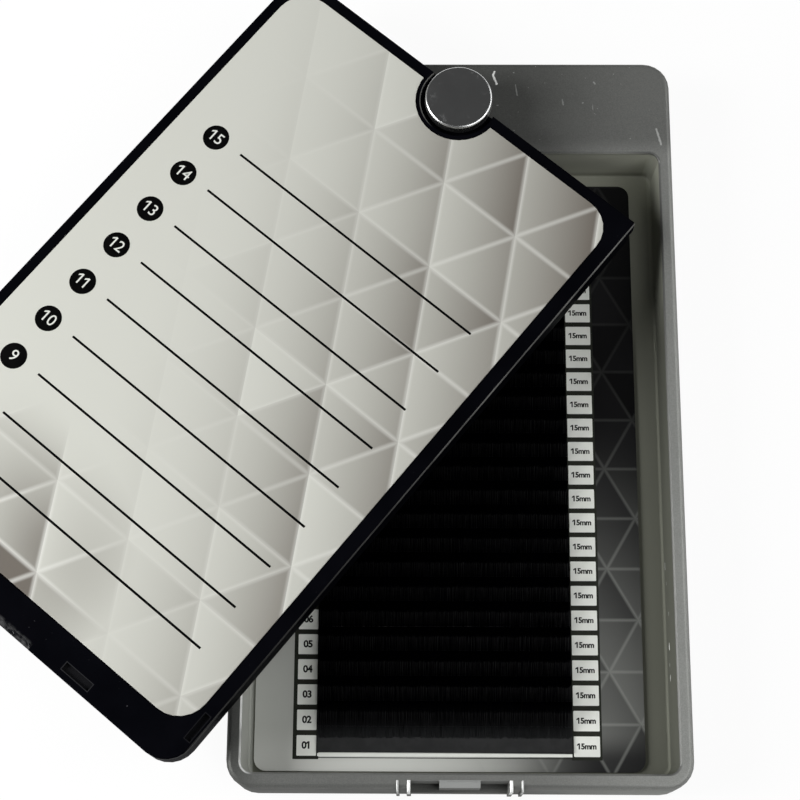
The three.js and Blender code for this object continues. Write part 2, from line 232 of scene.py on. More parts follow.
def makeFacets():
    # flat triangles laid edge to edge, each with its own tone and a slight slope
    tree, source, sink = shaderGroup("facetPrint", [("Vector", "Vector"), ("Size", "Float")],
                                     ["Tone", "Slope", "Fold"])
    x, y = parts(tree, source["Vector"])[:2]
    rise = product(tree, y, 0.57735)  # tangent of 30 degrees
    rows = [calc(tree, "DIVIDE", way, source["Size"])
            for way in (product(tree, rise, 2.0), calc(tree, "ADD", x, rise), calc(tree, "SUBTRACT", rise, x))]
    random = tree.nodes.new("ShaderNodeTexWhiteNoise")
    random.noise_dimensions = "3D"
    tree.links.new(vectorOf(tree, *[calc(tree, "FLOOR", row) for row in rows]), random.inputs["Vector"])
    tree.links.new(random.outputs["Value"], sink["Tone"])
    inside = [calc(tree, "FRACT", row) for row in rows]
    tree.links.new(inside[1], sink["Slope"])
    nearest = 1.0
    for value in inside:
        edge = calc(tree, "MINIMUM", value, calc(tree, "SUBTRACT", 1.0, value))
        nearest = calc(tree, "MINIMUM", nearest, edge)
    tree.links.new(rangeOf(tree, nearest, 0.0, 0.05, 1.0, 0.0), sink["Fold"])
    return tree


def makeStreak():
    # one ragged scratch between two points
    tree, source, sink = shaderGroup("streakMark", [("Vector", "Vector"), ("From", "Vector"), ("To", "Vector"),
                                                    ("Width", "Float")], ["Mask"])
    place = vectorCalc(tree, "SUBTRACT", source["Vector"], source["From"])
    span = vectorCalc(tree, "SUBTRACT", source["To"], source["From"])
    along = calc(tree, "DIVIDE", vectorCalc(tree, "DOT_PRODUCT", place, span),
                 vectorCalc(tree, "DOT_PRODUCT", span, span), True)
    gap = vectorCalc(tree, "DISTANCE", place, vectorCalc(tree, "SCALE", span, along))
    ragged = product(tree, noise(tree, source["Vector"], 2.2, 3.0), 1.3)
    reach = calc(tree, "SUBTRACT", calc(tree, "DIVIDE", gap, source["Width"]), ragged)
    tree.links.new(rangeOf(tree, reach, -0.35, 0.25, 1.0, 0.0), sink["Mask"])
    return tree


grain = makeGrain()
scuffs = makeScuffs()
facets = makeFacets()
streak = makeStreak()


# finishes

# many of these tones stand for painted light and shade, as marked where they are used
trayLook = {"light": (0.357, 0.364, 0.347), "dark": (0.259, 0.265, 0.252), "recess": (0.19, 0.195, 0.162),
            "recessRear": (0.36, 0.368, 0.308), "rightWall": (0.42, 0.43, 0.362), "rightFrontShade": (0.131, 0.135, 0.112),
            "wall": (0.53, 0.54, 0.46), "leftWall": (0.45, 0.46, 0.425),
            "catch": (0.42, 0.43, 0.42), "flange": 0.65, "outside": 0.78, "scuffAndHighlight": (0.78, 0.79, 0.77),
            "lipShade": (0.07, 0.07, 0.068), "ridge": (0.92, 0.93, 0.92)}
recess = {"halfWidth": 38.45, "halfLength": 58.6, "middle": -8.1, "corner": 1.9, "edge": (0.1, 0.3)}
# grip ridges: middles, half widths and strengths of their painted highlights, where the front face begins, and the
# catch's half width
ridges = {"x": (8.975, 10.925), "half": (0.27, 0.17), "glint": (1.0, 0.5), "rear": -67.9, "catch": 3.7}
# where the tray's tones and its painted light and shade change, in millimetres
trayZones = {"rim": (10.6, 11.8), "frontPaintedLight": (-10.0, 30.0), "flangePaintedShade": (49.5, 54.0), "leftPaintedShade": (-41.0, -33.0),
             "rightPaintedLight": (10.0, 38.0), "recessEdge": (0.0, 0.25), "recessTop": (11.0, 11.9), "underside": (0.9, 1.3),
             "rearFloor": (8.0, 34.0), "rightFoot": 37.3, "rightSteep": (2.2, 2.6), "rightFront": (12.0, 26.0),
             "rightRear": (23.0, 31.0), "leftFoot": -36.5, "leftSteep": (-37.4, -37.0), "rearFoot": 48.8,
             "rearSteep": (2.2, 4.0), "rearCorner": (36.0, 38.4), "lipBottom": 11.4, "lipRight": (30.0, 38.0),
             "lipSides": (36.0, 38.0), "lipFade": (-30.0, 30.0), "flangeMarks": (51.0, 54.0), "catchTop": (9.4, 10.0),
             "ridgeTop": (4.0, 8.0)}
# scratches: from, to, half width and how strongly each shows
trayStreaks = [((7.15, 67.6, 12.0), (6.85, 66.9, 12.0), 0.26, 1.0), ((6.85, 66.9, 12.0), (7.55, 65.0, 12.0), 0.3, 1.0),
               ((38.2, 55.5, 12.0), (39.0, 52.3, 12.0), 0.32, 0.4), ((26.4, 65.4, 12.0), (26.6, 65.0, 12.0), 0.24, 0.3),
               ((11.2, 64.8, 12.0), (11.5, 62.6, 12.0), 0.2, 0.25), ((20.2, 61.6, 12.0), (20.4, 60.6, 12.0), 0.22, 0.2),
               ((38.2, -42.9, 4.9), (38.2, -43.7, 4.9), 0.45, 1.0), ((38.2, -48.6, 5.0), (38.2, -49.4, 4.9), 0.36, 0.7),
               ((38.19, -46.5, 4.7), (38.19, -46.8, 4.7), 0.3, 0.5),
               ((38.15, -27.7, 3.2), (38.15, -28.8, 3.2), 0.28, 0.8),
               ((38.2, -37.2, 5.4), (38.2, -37.6, 5.4), 0.3, 0.5),
               ((38.17, -31.4, 4.0), (38.17, -31.8, 4.0), 0.25, 0.4)]


def recessGap(tree, x, y):
    # how far a point lies outside the recess's rounded outline
    corner = recess["corner"]
    dx = calc(tree, "SUBTRACT", calc(tree, "ABSOLUTE", x), recess["halfWidth"] - corner)
    dy = calc(tree, "SUBTRACT", away(tree, y, recess["middle"]), recess["halfLength"] - corner)
    far = hypotenuse(tree, calc(tree, "MAXIMUM", dx, 0.0), calc(tree, "MAXIMUM", dy, 0.0))
    near = calc(tree, "MINIMUM", calc(tree, "MAXIMUM", dx, dy), 0.0)
    return calc(tree, "SUBTRACT", calc(tree, "ADD", far, near), corner)


def trayPaint():
    material, tree, shader, where = newMaterial("traySilver", {"Specular IOR Level": 0.15,
                                                               "Specular Tint": (0.3, 0.3, 0.3, 1)})
    local = trayVector(tree, where)
    x, y, z = parts(tree, local)
    gap = recessGap(tree, x, y)
    across = calc(tree, "ABSOLUTE", x)
    zone = zonesOf(tree, trayZones)
    surface = useGroup(tree, grain, where, Fine=5200.0, Broad=45.0)
    flakes = rangeOf(tree, surface["Height"], 0.3, 0.7)
    tone = calc(tree, "ADD", product(tree, surface["Shade"], 0.4), product(tree, flakes, 0.6))
    colour = mixColour(tree, tone, trayLook["dark"], trayLook["light"])

    # painted light and shade: the side and rear outer walls and the flange darker than the rim, the front wall lighter
    # towards its right end, the left side darker and the right side lighter
    front = calc(tree, "LESS_THAN", y, ridges["rear"])
    plain = calc(tree, "ADD", product(tree, front, zone(x, "frontPaintedLight", 0.17, 0.42)), trayLook["outside"])
    low = zone(z, "rim", 1.0, 0.0)
    outer = calc(tree, "ADD", product(tree, low, plain), calc(tree, "SUBTRACT", 1.0, low))
    sides = product(tree, zone(x, "leftPaintedShade", 0.6, 1.0), zone(x, "rightPaintedLight", 0.543, 0.82))
    paintedLightShade = product(tree, zone(y, "flangePaintedShade", 1.0, trayLook["flange"]), outer, sides)
    colour = mixColour(tree, paintedLightShade, (0.0, 0.0, 0.0), colour)

    # recess, with painted light and shade: the floor lighter towards the rear, the right wall darker at its front and
    # lighter at its rear, the left wall with the floor strip beside it and the rear wall lighter than the floor, the
    # rear wall darker towards its right corner
    inside = product(tree, zone(gap, "recessEdge", 1.0, 0.0), zone(z, "recessTop", 1.0, 0.0), zone(z, "underside"))
    bottom = mixColour(tree, zone(y, "rearFloor"), trayLook["recess"], trayLook["recessRear"])
    right = calc(tree, "GREATER_THAN", x, trayZones["rightFoot"])
    steep = product(tree, right, zone(z, "rightSteep"), zone(y, "rightFront", 1.0, 0.0))
    bottom = mixColour(tree, steep, bottom, trayLook["rightFrontShade"])
    bottom = mixColour(tree, product(tree, right, zone(y, "rightRear")), bottom, trayLook["rightWall"])
    colour = mixColour(tree, inside, colour, bottom)
    left = calc(tree, "LESS_THAN", x, trayZones["leftFoot"])
    behind = calc(tree, "MAXIMUM", left, calc(tree, "GREATER_THAN", y, trayZones["rearFoot"]))
    tall = calc(tree, "MAXIMUM", zone(z, "rearSteep"), zone(x, "leftSteep", 1.0, 0.0))
    inner = mixColour(tree, left, trayLook["wall"], trayLook["leftWall"])
    inner = mixColour(tree, zone(x, "rearCorner", 0.0, 0.6), inner, trayLook["recess"])
    colour = mixColour(tree, product(tree, inside, behind, tall), colour, inner)

    # the lip of the recess: painted shade on the right, a painted highlight on the left
    lip = rangeOf(tree, away(tree, gap, recess["edge"][0]), *recess["edge"], 1.0, 0.0)
    lip = product(tree, lip, calc(tree, "GREATER_THAN", z, trayZones["lipBottom"]))
    colour = mixColour(tree, product(tree, lip, zone(x, "lipRight", 0.0, 0.6)), colour, trayLook["lipShade"])
    sides = zone(across, "lipSides", 0.15, 1.0)
    ragged = rangeOf(tree, noise(tree, where, 160.0), 0.3, 0.6, 0.4, 1.0)
    lip = product(tree, lip, product(tree, sides, zone(x, "lipFade", 0.85, 0.0)), ragged)
    colour = mixColour(tree, lip, colour, trayLook["scuffAndHighlight"])

    # scuffs, specks and scratches
    marks = useGroup(tree, scuffs, where, Size=900.0, Amount=-0.01)["Mask"]
    rear = useGroup(tree, scuffs, where, Size=700.0, Amount=0.04)["Mask"]
    specks = rangeOf(tree, noise(tree, where, 1300.0, 1.0), 0.75, 0.80)
    rear = product(tree, calc(tree, "MAXIMUM", rear, specks), zone(y, "flangeMarks", 0.0, 0.3))
    marks = calc(tree, "MAXIMUM", marks, rear)
    for start, end, width, strength in trayStreaks:
        scratch = useGroup(tree, streak, local, From=start, To=end, Width=width)["Mask"]
        marks = calc(tree, "MAXIMUM", marks, product(tree, scratch, strength))
    colour = mixColour(tree, marks, colour, trayLook["scuffAndHighlight"])

    # painted highlights on the catch's top and on the grip ridges
    snap = product(tree, front, calc(tree, "LESS_THAN", across, ridges["catch"]), zone(z, "catchTop"))
    colour = mixColour(tree, snap, colour, trayLook["catch"])
    high = zone(z, "ridgeTop")
    for middle, half, glint in zip(ridges["x"], ridges["half"], ridges["glint"]):
        near = calc(tree, "LESS_THAN", away(tree, across, middle), half)
        paintedGlint = product(tree, near, front, high, glint)
        colour = mixColour(tree, paintedGlint, colour, trayLook["ridge"])

    tree.links.new(colour, shader["Base Color"])
    tree.links.new(rangeOf(tree, marks, 0.0, 1.0, 0.4, 0.0), shader["Metallic"])
    rough = calc(tree, "ADD", rangeOf(tree, surface["Shade"], 0.0, 1.0, 0.44, 0.38), zone(z, "rim", 0.35, 0.0))
    tree.links.new(calc(tree, "SUBTRACT", rough, product(tree, marks, 0.12)), shader["Roughness"])
    addBump(tree, shader, surface["Height"], 0.12, 0.00004)
    return material


# several of these tones stand for painted highlights, as marked where they are used
lidLook = {"black": (0.0015, 0.0016, 0.0025), "worn": (0.0025, 0.0026, 0.0039), "dust": (0.04, 0.04, 0.044),
           "edge": (0.24, 0.24, 0.23), "window": (0.012, 0.012, 0.0135), "line": (0.022, 0.022, 0.024),
           "arc": (0.11, 0.11, 0.105), "glint": (0.16, 0.16, 0.16)}
# where the lid's tones and painted highlights change, in millimetres from the pivot
lidZones = {"side": 40.96, "top": 18.34, "edgeFade": (-90.0, -25.0), "sunk": (18.0, 18.3), "sunkFloor": 17.6,
            "frontWindow": (14.0, -124.5), "sideWindow": (39.2, 40.5, -117.0), "bore": 7.34, "boreArc": (3.6, 6.4),
            "scoop": 8.2, "scoopFront": (-127.6, -127.2), "scoopHeight": (16.4, 17.4), "scoopWearAndGlint": (-128.8, -127.6),
            "wall": (17.6, 18.5)}
# blind windows: middle, half size and how strongly the painted highlight on the rim of each shows
lidWindows = [(17.95, -126.75, 3.05, 0.75, 1.0), (39.85, -119.95, 0.575, 2.75, 0.4)]


def windowLines(tree, u, v):
    # painted highlights: the thin bright rims of the blind windows
    found = 0.0
    for cu, cv, halfU, halfV, strength in lidWindows:
        du = calc(tree, "SUBTRACT", away(tree, calc(tree, "ABSOLUTE", u), cu), halfU)
        dv = calc(tree, "SUBTRACT", away(tree, v, cv), halfV)
        off = away(tree, calc(tree, "MAXIMUM", du, dv), 0.05)
        found = calc(tree, "MAXIMUM", found, rangeOf(tree, off, 0.06, 0.14, strength, 0.0))
    return found


def boreArc(tree, u, v):
    # a painted highlight on part of the edge round the button
    off = away(tree, hypotenuse(tree, u, v), lidZones["bore"])
    toward = calc(tree, "ADD", product(tree, u, -0.88), product(tree, v, -0.47))
    return product(tree, rangeOf(tree, off, 0.05, 0.14, 1.0, 0.0), rangeOf(tree, toward, *lidZones["boreArc"]))


def sunkWindows(tree, u, v, z):
    # the floors of the blind windows
    sunk = product(tree, rangeOf(tree, z, *lidZones["sunk"], 1.0, 0.0),
                   calc(tree, "GREATER_THAN", z, lidZones["sunkFloor"]))
    inner, ahead = lidZones["frontWindow"]
    front = product(tree, calc(tree, "LESS_THAN", v, ahead), calc(tree, "GREATER_THAN", u, inner))
    inner, outer, ahead = lidZones["sideWindow"]
    side = product(tree, calc(tree, "GREATER_THAN", u, inner), calc(tree, "LESS_THAN", u, outer),
                   calc(tree, "LESS_THAN", v, ahead), 0.6)
    return product(tree, sunk, calc(tree, "MAXIMUM", front, side))


def scoopWearAndGlint(tree, where, u, v, z):
    # where fingertips rub the scoop in the lid's front: wear marks lightened into a painted highlight
    scoop = product(tree, calc(tree, "LESS_THAN", calc(tree, "ABSOLUTE", u), lidZones["scoop"]),
                    rangeOf(tree, v, *lidZones["scoopFront"], 1.0, 0.0), rangeOf(tree, z, *lidZones["scoopHeight"]))
    worn = useGroup(tree, scuffs, where, Size=1500.0, Amount=0.2)["Mask"]
    blotches = rangeOf(tree, noise(tree, where, 800.0, 3.0), 0.38, 0.68, 0.02, 0.5)
    worn = calc(tree, "MAXIMUM", worn, blotches)
    return product(tree, scoop, worn, rangeOf(tree, v, *lidZones["scoopWearAndGlint"], 1.0, 0.4))


def lidPlastic():
    material, tree, shader, where = newMaterial("lidBlack", {"Roughness": 0.24, "Specular IOR Level": 0.004})
    u, v, z = parts(tree, lidVector(tree, where))
    surface = useGroup(tree, grain, where, Fine=6500.0, Broad=70.0)
    colour = mixColour(tree, surface["Shade"], lidLook["black"], lidLook["worn"])
    specks = rangeOf(tree, noise(tree, where, 1900.0, 1.0), 0.79, 0.83)
    colour = mixColour(tree, specks, colour, lidLook["dust"])
    high = calc(tree, "GREATER_THAN", z, lidZones["top"])
    # painted highlight: a thin bright line along the lid's right top edge
    paintedGlint = product(tree, calc(tree, "GREATER_THAN", u, lidZones["side"]), high,
                     rangeOf(tree, noise(tree, where, 120.0), 0.3, 0.65, 0.5, 1.0),
                     rangeOf(tree, v, *lidZones["edgeFade"], 0.18, 0.75))
    # painted highlights on the right top edge, the window rims, the bore's edge and the scoop, and the lighter window
    # floors
    for mask, tone in ((paintedGlint, "edge"), (sunkWindows(tree, u, v, z), "window"),
                       (product(tree, windowLines(tree, u, v), high), "line"),
                       (product(tree, boreArc(tree, u, v), high), "arc"),
                       (scoopWearAndGlint(tree, where, u, v, z), "glint")):
        colour = mixColour(tree, mask, colour, lidLook[tone])
    tree.links.new(colour, shader["Base Color"])
    rough = rangeOf(tree, surface["Shade"], 0.0, 1.0, 0.2, 0.28)
    rough = calc(tree, "ADD", rough, rangeOf(tree, z, *lidZones["wall"], 0.2, 0.0))
    tree.links.new(rough, shader["Roughness"])
    addBump(tree, shader, surface["Height"], 0.06, 0.00003)
    return material


def paperBump(tree, shader, where):
    fibres = useGroup(tree, grain, where, Fine=9000.0, Broad=300.0)
    addBump(tree, shader, fibres["Height"], 0.12, 0.00002)
    return fibres["Shade"]


lidPrint = {"paper": (0.575, 0.58, 0.53), "pale": (0.74, 0.74, 0.70), "shade": (0.15, 0.134, 0.115), "size": 17.0,
            "across": (-45.0, 25.0), "cornerFront": (-116.0, -92.0), "cornerSide": (-6.0, 22.0)}


def lidArtwork():
    material, tree, shader, where = newMaterial("lidPrint", {"Roughness": 0.55, "Specular IOR Level": 0.14})
    local = lidVector(tree, where)
    u, v = parts(tree, local)[:2]
    design = useGroup(tree, facets, local, Size=lidPrint["size"])
    tone = calc(tree, "ADD", product(tree, design["Tone"], 0.55), product(tree, design["Slope"], 0.65))
    across = rangeOf(tree, calc(tree, "ADD", u, product(tree, v, 0.35)), *lidPrint["across"])
    corner = product(tree, rangeOf(tree, v, *lidPrint["cornerFront"], 1.0, 0.0),
                     rangeOf(tree, u, *lidPrint["cornerSide"], 1.0, 0.0))
    strength = calc(tree, "MAXIMUM", product(tree, across, 0.9), product(tree, corner, 1.25))
    colour = mixColour(tree, product(tree, tone, strength), lidPrint["paper"], lidPrint["shade"])
    colour = mixColour(tree, product(tree, design["Fold"], strength, 0.45), colour, lidPrint["pale"])
    tree.links.new(colour, shader["Base Color"])
    paperBump(tree, shader, where)
    return material


cardPrint = {"left": (0.45, 0.46, 0.43), "right": (0.17, 0.174, 0.164), "front": (0.64, 0.65, 0.615),
             "far": (0.0012, 0.0012, 0.0014), "pale": (0.30, 0.31, 0.29), "deep": (0.012, 0.012, 0.013), "size": 11.0}
cardZones = {"across": (-20.0, 20.0), "front": (-66.0, -57.0), "frontSide": (-20.0, 22.0), "corner": (-64.0, -58.0),
             "cornerSide": (8.0, 28.0), "far": (-52.0, 2.0), "design": (0.0, 30.0), "folds": (-45.0, 8.0)}


def cardArtwork():
    material, tree, shader, where = newMaterial("cardPrint", {"Roughness": 0.52, "Specular IOR Level": 0.08})
    local = trayVector(tree, where)
    x, y = parts(tree, local)[:2]
    zone = zonesOf(tree, cardZones)
    ground = mixColour(tree, zone(x, "across"), cardPrint["left"], cardPrint["right"])
    front = product(tree, zone(y, "front", 1.0, 0.0), zone(x, "frontSide", 1.0, 0.0))
    ground = mixColour(tree, front, ground, cardPrint["front"])
    corner = product(tree, zone(y, "corner", 0.85, 0.0), zone(x, "cornerSide"))
    ground = mixColour(tree, corner, ground, cardPrint["deep"])
    ground = mixColour(tree, zone(y, "far"), ground, cardPrint["far"])
    design = useGroup(tree, facets, local, Size=cardPrint["size"])
    tone = calc(tree, "ADD", product(tree, design["Tone"], 0.6), product(tree, design["Slope"], 0.4))
    side = zone(x, "design")
    colour = mixColour(tree, product(tree, tone, product(tree, side, 0.95)), ground, cardPrint["deep"])
    light = product(tree, design["Fold"], side, zone(y, "folds", 0.4, 0.05))
    colour = mixColour(tree, light, colour, cardPrint["pale"])
    tree.links.new(colour, shader["Base Color"])
    paperBump(tree, shader, where)
    return material


def plainInk(name, dark, light, roughness, gloss=0.14):
    material, tree, shader, where = newMaterial(name, {"Roughness": roughness, "Specular IOR Level": gloss})
    shade = paperBump(tree, shader, where)
    tree.links.new(mixColour(tree, shade, dark, light), shader["Base Color"])
    return material


# painted sheen: the roots in the front row are paler, the rows behind stay black; places in metres
lashLook = {"tips": ((0.0002, 0.0002, 0.0005), (0.0005, 0.0005, 0.0010)), "root": (0.022, 0.023, 0.024),
            "rootHeight": (0.0026, 0.0046), "frontRow": (-0.059, -0.053)}


def lashBlack():
    material, tree, shader, where = newMaterial("lashBlack", {"Roughness": 0.5, "Specular IOR Level": 0.0})
    surface = useGroup(tree, grain, where, Fine=3000.0, Broad=900.0)
    tips = mixColour(tree, surface["Shade"], *lashLook["tips"])
    y, z = parts(tree, where)[1:]
    # painted sheen low on the front row's lashes
    root = product(tree, rangeOf(tree, z, *lashLook["rootHeight"], 1.0, 0.0),
                   rangeOf(tree, y, *lashLook["frontRow"], 1.0, 0.0))
    tree.links.new(mixColour(tree, root, tips, lashLook["root"]), shader["Base Color"])
    tree.links.new(rangeOf(tree, surface["Height"], 0.0, 1.0, 0.42, 0.56), shader["Roughness"])
    return material


# painted shade: every strip behind the front part of the first is near black, as under the lashes
tapeLook = {"plain": ((0.014, 0.0145, 0.015), (0.020, 0.0205, 0.021)), "under": (0.0006, 0.0006, 0.001),
            "frontEdge": (-0.0594, -0.0585)}


def stripTape():
    material, tree, shader, where = newMaterial("stripTape", {"Roughness": 0.45, "Specular IOR Level": 0.2})
    surface = useGroup(tree, grain, where, Fine=4000.0, Broad=500.0)
    colour = mixColour(tree, surface["Shade"], *tapeLook["plain"])
    # painted shade under the lashes, behind the first strip's front part
    under = rangeOf(tree, parts(tree, where)[1], *tapeLook["frontEdge"])
    tree.links.new(mixColour(tree, under, colour, tapeLook["under"]), shader["Base Color"])
    addBump(tree, shader, surface["Height"], 0.15, 0.00003)
    return material


# how far out from the middle the polish is smeared, and how wide the dull rim is
metalLook = {"smearFrom": (3.0 * mm, 5.6 * mm), "smearTo": (5.7 * mm, 5.9 * mm), "rim": 0.3 * mm}


def polishedMetal(name, colour, roughness, rings, rim):
    material, tree, shader, where = newMaterial(name, {"Metallic": 1.0, "Roughness": roughness})
    x, y = parts(tree, where)[:2]
    radius = hypotenuse(tree, x, calc(tree, "SUBTRACT", y, pivot["y"] * mm))
    surface = useGroup(tree, grain, where, Fine=2500.0, Broad=160.0)
    dim = tuple(c * 0.92 for c in colour)
    tree.links.new(mixColour(tree, surface["Shade"], dim, colour), shader["Base Color"])
    patches = rangeOf(tree, noise(tree, where, 620.0, 4.0, 0.6), 0.5, 0.75)
    ring = product(tree, rangeOf(tree, radius, *metalLook["smearFrom"]),
                   rangeOf(tree, radius, *metalLook["smearTo"], 1.0, 0.0))
    rough = rangeOf(tree, surface["Shade"], 0.0, 1.0, roughness, roughness * 1.6)
    rough = calc(tree, "ADD", rough, product(tree, product(tree, patches, ring), 0.3))
    rough = calc(tree, "ADD", rough, rangeOf(tree, radius, rim * mm, rim * mm + metalLook["rim"], 0.0, 0.2))
    tree.links.new(rough, shader["Roughness"])
    addBump(tree, shader, calc(tree, "SINE", product(tree, radius, rings)), 0.03, 0.00001)
    return material


def nylon():
    material, tree, shader, where = newMaterial("washerNylon", {"Roughness": 0.55})
    surface = useGroup(tree, grain, where, Fine=3500.0, Broad=200.0)
    colour = mixColour(tree, surface["Shade"], (0.70, 0.69, 0.65), (0.78, 0.77, 0.73))
    tree.links.new(colour, shader["Base Color"])
    addBump(tree, shader, surface["Height"], 0.1, 0.00004)
    return material


trayMaterial = trayPaint()
lidMaterial = lidPlastic()
lidPrintMaterial = lidArtwork()
cardPrintMaterial = cardArtwork()
inkBlack = plainInk("inkBlack", (0.0012, 0.0012, 0.0014), (0.003, 0.003, 0.003), 0.45, 0.03)
inkWhite = plainInk("inkWhite", (0.62, 0.63, 0.59), (0.68, 0.69, 0.65), 0.5)
inkGrey = plainInk("inkGrey", (0.012, 0.014, 0.010), (0.020, 0.022, 0.016), 0.5)
labelPaper = plainInk("labelPaper", (0.79, 0.81, 0.76), (0.83, 0.85, 0.80), 0.5)
labelInk = plainInk("labelInk", (0.008, 0.009, 0.008), (0.014, 0.015, 0.014), 0.5)
lashMaterial = lashBlack()
tapeMaterial = stripTape()
buttonMaterial = polishedMetal("buttonMirror", (0.80, 0.81, 0.81), 0.055, 24000.0, 5.8)
screwMaterial = polishedMetal("screwSteel", (0.52, 0.53, 0.54), 0.28, 16000.0, 3.0)
washerMaterial = nylon()
print("finishes ready:", len(bpy.data.materials))


# mesh helpers

def dress(mesh, material):
    mesh.materials.clear()
    mesh.materials.append(material)


def newPiece(name, mesh, material):
    mesh.name = name
    dress(mesh, material)
    return linked(name, mesh)


def plainMesh(piece):
    # what the piece shows, with its modifiers worked out
    graph = bpy.context.evaluated_depsgraph_get()
    return bpy.data.meshes.new_from_object(piece.evaluated_get(graph), preserve_all_data_layers=True, depsgraph=graph)


def settled(piece):
    mesh = plainMesh(piece)
    piece.modifiers.clear()
    piece.data = mesh
    return piece


# how far the edges of each solid are rounded, in millimetres
softEdges = {"tray": 0.22, "lid": 0.16, "lidCard": 0.05, "screw": 0.12, "washer": 0.06}


def softCopy(node, name, material, edge, steps=3, angle=38):
    # a copy of a CAD solid with small rounded edges
    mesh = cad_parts[node].data.copy()
    work = bmesh.new()
    work.from_mesh(mesh)
    bmesh.ops.remove_doubles(work, verts=work.verts, dist=1e-6)
    bmesh.ops.dissolve_limit(work, angle_limit=math.radians(1), verts=work.verts, edges=work.edges)
    for face in work.faces:
        face.smooth = True
    work.to_mesh(mesh)
    work.free()
    piece = newPiece(name, mesh, material)
    bevel = piece.modifiers.new("edges", "BEVEL")
    bevel.width = edge * mm
    bevel.segments = steps
    bevel.limit_method = "ANGLE"
    bevel.angle_limit = math.radians(angle)
    bevel.harden_normals = True
    piece.modifiers.new("normals", "WEIGHTED_NORMAL").keep_sharp = True
    return settled(piece)


def turnedMesh(profile, steps):
    # revolves (radius, height) pairs in millimetres about the pivot
    work = bmesh.new()
    verts = [work.verts.new((radius * mm, 0, height * mm)) for radius, height in profile]
    edges = [work.edges.new(pair) for pair in zip(verts, verts[1:])]
    bmesh.ops.spin(work, geom=verts + edges, cent=(0, 0, 0), axis=(0, 0, 1), angle=math.tau, steps=steps)
    bmesh.ops.remove_doubles(work, verts=work.verts, dist=1e-7)
    bmesh.ops.recalc_face_normals(work, faces=work.faces)
    for face in work.faces:
        face.smooth = True
    bmesh.ops.translate(work, verts=work.verts, vec=(0, pivot["y"] * mm, 0))
    mesh = bpy.data.meshes.new("turned")
    work.to_mesh(mesh)
    work.free()
    return mesh


lettering = {"resolution": 4, "spacing": 0.94}
# flag of a figure one: shares of the stroke's height, and of its thickness
flag = {"slender": 3.2, "reach": 0.27, "drop": 0.2, "tip": 1.05, "root": 1.15}


def textMesh(words, size, bold):
    curve = bpy.data.curves.new("numerals", "FONT")
    curve.body = words
    curve.size = size * mm
    curve.align_x = "CENTER"
    curve.align_y = "CENTER"
    curve.resolution_u = lettering["resolution"]
    curve.offset = bold * size * mm
    curve.space_character = lettering["spacing"]
    holder = linked("numerals", curve)
    mesh = plainMesh(holder)
    bpy.data.objects.remove(holder)
    bpy.data.curves.remove(curve)
    return mesh


def addFlags(work):
    # gives each bare upright stroke the slanting flag of a figure one
    left = set(work.verts)
    strokes = []
    while left:
        island = [left.pop()]
        for vert in island:
            for edge in vert.link_edges:
                other = edge.other_vert(vert)
                if other in left:
                    left.remove(other)
                    island.append(other)
        low = Vector([min(v.co[i] for v in island) for i in range(3)])
        high = Vector([max(v.co[i] for v in island) for i in range(3)])
        if high.y - low.y > flag["slender"] * (high.x - low.x):
            strokes.append((low, high))
    for low, high in strokes:
        tall = high.y - low.y
        thick = high.x - low.x
        tipX = low.x - flag["reach"] * tall
        tipY = high.y - flag["drop"] * tall
        corners = [(low.x, high.y), (tipX, tipY), (tipX, tipY - flag["tip"] * thick),
                   (low.x, high.y - flag["root"] * thick)]
        work.faces.new([work.verts.new((x, y, low.z)) for x, y in corners])


def joinedText(name, entries, size, material, lift, matrix=Matrix(), bold=0.0):
    # one flat mesh from (words, x, y) entries, lying at one height
    work = bmesh.new()
    for words, x, y in entries:
        mesh = textMesh(words, size, bold)
        mesh.transform(Matrix.Translation((x * mm, y * mm, lift * mm)))
        work.from_mesh(mesh)
        bpy.data.meshes.remove(mesh)
    addFlags(work)
    mesh = bpy.data.meshes.new(name)
    work.to_mesh(mesh)
    work.free()
    mesh.transform(matrix)
    return newPiece(name, mesh, material)


# geometry node helpers

def geometryTree(name, inputs):
    tree = bpy.data.node_groups.new(name, "GeometryNodeTree")
    tree.interface.new_socket("Geometry", in_out="OUTPUT", socket_type="NodeSocketGeometry")
    keys = {}
    for label, kind in inputs:
        keys[label] = tree.interface.new_socket(label, in_out="INPUT", socket_type="NodeSocket" + kind).identifier
    return tree, keys, tree.nodes.new("NodeGroupInput").outputs, tree.nodes.new("NodeGroupOutput").inputs


def gn(tree, kind, links=None, **values):
    node = tree.nodes.new("GeometryNode" + kind)
    for label, value in values.items():
        setattr(node, label, value)
    for label, value in (links or {}).items():
        feed(tree, node.inputs[label], value)
    return node


def randomVector(tree, low, high, seed):
    node = tree.nodes.new("FunctionNodeRandomValue")
    node.data_type = "FLOAT_VECTOR"
    node.inputs[0].default_value = low
    node.inputs[1].default_value = high
    tree.links.new(seed, node.inputs["Seed"])
    return node.outputs[0]


def finishTree(tree, geometry, material, sink):
    real = gn(tree, "RealizeInstances", {"Geometry": geometry})
    coat = gn(tree, "SetMaterial", {"Geometry": real.outputs[0], "Material": material})
    tree.links.new(coat.outputs[0], sink["Geometry"])


def grown(name, tree, keys, values, material, matrix):
    # a piece made by a node tree, as a plain mesh in its place
    piece = newPiece(name, bpy.data.meshes.new(name), material)
    modifier = piece.modifiers.new("nodes", "NODES")
    modifier.node_group = tree
    for label, value in values.items():
        modifier[keys[label]] = value
    settled(piece)
    piece.data.name = name
    piece.data.transform(matrix)
    dress(piece.data, material)
    return piece


